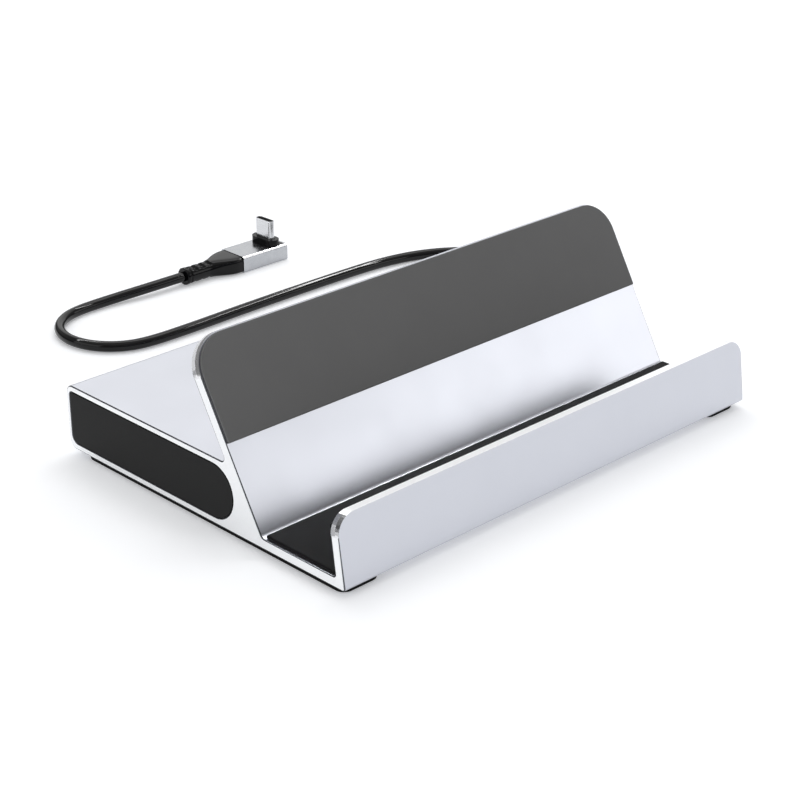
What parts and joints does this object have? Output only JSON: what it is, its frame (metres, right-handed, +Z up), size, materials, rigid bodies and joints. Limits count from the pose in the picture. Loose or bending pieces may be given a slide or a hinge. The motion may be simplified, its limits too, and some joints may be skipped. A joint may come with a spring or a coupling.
{
  "type": "laptop docking station",
  "caption": "Aluminium desk dock: a flat base box with sockets at the rear, a leaning backrest with a grey pad, a front channel and lip, and a short link cable with an angled plug.",
  "frame": {"origin": "on the desk, under the middle of the dock, without its cable", "axes": "+Z up, +X to the right end, -Y to the front lip, +Y to the sockets"},
  "size_m": [0.2081, 0.2, 0.0513],
  "materials": {
    "anodised_aluminium": "fine bead-blasted, clear anodised",
    "black_abs": "moulded, fine satin",
    "grey_silicone": "smooth matte",
    "black_silicone": "smooth, slight sheen",
    "black_rubber": "moulded, matte",
    "circuit_board": "solder mask",
    "brass": "turned",
    "zinc_steel": "zinc plated",
    "chip_epoxy": "moulded",
    "thermal_silicone": "soft matte",
    "ferrite": "pressed, grey",
    "capacitor_can": "drawn",
    "nickel_steel": "nickel plated",
    "gold_contact": "gold plated",
    "cable_jacket": "extruded, glossy",
    "plug_moulding": "moulded, satin to glossy",
    "plug_aluminium": "bead-blasted, anodised"
  },
  "bodies": {
    "root": {"chassis_extrusion": "anodised_aluminium", "left_end_cap": "black_abs", "right_end_cap": "black_abs", "backrest_pad": "grey_silicone", "channel_pad": "black_silicone", "left_foot_strip": "black_rubber", "right_foot_strip": "black_rubber", "main_board": "circuit_board", "board_standoffs": "brass", "base_screws": "zinc_steel", "board_screws": "zinc_steel", "hub_controller": "chip_epoxy", "video_converter": "chip_epoxy", "network_controller": "chip_epoxy", "power_controller": "chip_epoxy", "hub_thermal_pad": "thermal_silicone", "power_coils": "ferrite", "filter_capacitors": "capacitor_can", "network_transformer": "chip_epoxy", "network_jack_shield": "nickel_steel", "network_jack_body": "black_abs", "network_contacts": "gold_contact", "data_socket_1_shell": "nickel_steel", "data_socket_1_insert": "black_abs", "data_socket_2_shell": "nickel_steel", "data_socket_2_insert": "black_abs", "video_socket_shell": "nickel_steel", "video_socket_insert": "black_abs", "power_socket_shell": "nickel_steel", "power_socket_insert": "black_abs", "lead_connector": "plug_moulding", "internal_lead": "cable_jacket", "cable_strain_relief": "plug_moulding", "link_cable": "cable_jacket", "plug_boot": "plug_moulding", "plug_housing": "plug_aluminium", "plug_core": "plug_moulding", "plug_collar": "plug_moulding", "plug_tip": "nickel_steel", "plug_insert": "black_abs"}
  },
  "joints": []
}
